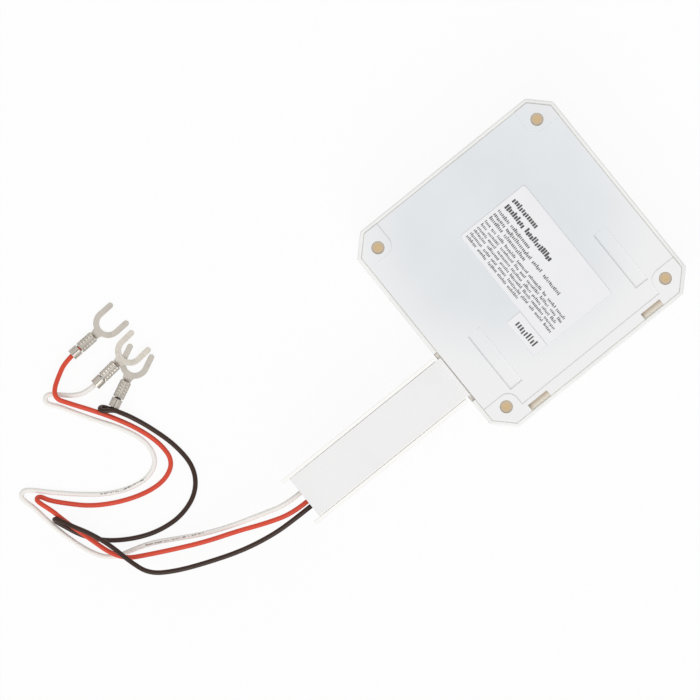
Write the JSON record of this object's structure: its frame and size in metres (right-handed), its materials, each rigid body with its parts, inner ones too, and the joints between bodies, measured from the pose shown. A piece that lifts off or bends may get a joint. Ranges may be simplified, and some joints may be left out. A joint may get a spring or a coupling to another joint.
{
  "type": "doorbell chime extender transmitter",
  "caption": "Square wall-mounted transmitter case seen from its back, with a clip-on wiring duct and fork-ended leads that connect it to a doorbell chime.",
  "frame": {"origin": "centre of the case's front face, which lies on the surface", "axes": "+Z out of the front face's plane towards the back plate, +Y away from the wiring duct, +X to the right as the back is seen with the duct below"},
  "size_m": [0.1128, 0.2118, 0.027],
  "materials": {
    "case": "fine satin, moulded",
    "plate": "satin, moulded, cool pale grey",
    "label": "satin film with plain grey bars",
    "duct": "satin extrusion",
    "clamp": "satin",
    "screw": "zinc plated",
    "board": "solder mask",
    "black_plastic": "satin",
    "cell": "nickel plated",
    "wrap": "plain shrink sleeve",
    "contact": "nickel plated spring",
    "tin": "tinned",
    "antenna": "insulated wire",
    "chip": "moulded package",
    "resistor": "lacquer with bands",
    "ceramic_chip": "ceramic",
    "button": "satin",
    "lamp": "tinted clear",
    "connector": "natural nylon",
    "white_wire": "satin insulation",
    "red_wire": "satin insulation",
    "black_wire": "satin insulation",
    "terminal": "tin plated brass"
  },
  "bodies": {
    "housing": {"front_cover": "case", "duct_base": "duct", "wire_clamp": "clamp", "clamp_screws": "screw", "circuit_board": "board", "board_screws": "screw", "battery_holder": "black_plastic", "battery_cell": "cell", "battery_wrap": "wrap", "positive_contact": "contact", "negative_contact": "contact", "radio_module": "board", "shield_can": "tin", "antenna_wire": "antenna", "microcontroller": "chip", "crystal": "tin", "optocouplers": "chip", "power_resistors": "resistor", "sense_diodes": "chip", "reservoir_capacitor": "wrap", "chip_capacitors": "ceramic_chip", "chip_resistors": "chip", "learn_switch": "black_plastic", "status_led": "lamp", "wire_header": "connector", "wire_plug": "connector", "white_lead_inner": "white_wire", "red_lead_inner": "red_wire", "black_lead_inner": "black_wire", "white_lead": "white_wire", "red_lead": "red_wire", "black_lead": "black_wire", "white_terminal": "terminal", "red_terminal": "terminal", "black_terminal": "terminal"},
    "plate": {"back_plate": "plate", "rating_label": "label", "date_sticker": "label"},
    "cover": {"duct_cover": "duct"},
    "button": {"learn_plunger": "button"}
  },
  "joints": [
    {"name": "plate_swing", "type": "hinge", "parent": "housing", "child": "plate", "pos_m": [-0.0386, 0, 0.027], "axis": [0, -1, 0], "range_deg": [0, 48]},
    {"name": "cover_pull", "type": "slide", "parent": "housing", "child": "cover", "axis": [0, 0, -1], "range_m": [0, 0.012]},
    {"name": "learn_press", "type": "slide", "parent": "housing", "child": "button", "axis": [0, 0, -1], "range_m": [0, 0.00025], "stiffness_N_per_m": 2000, "springref_m": -0.0002}
  ]
}
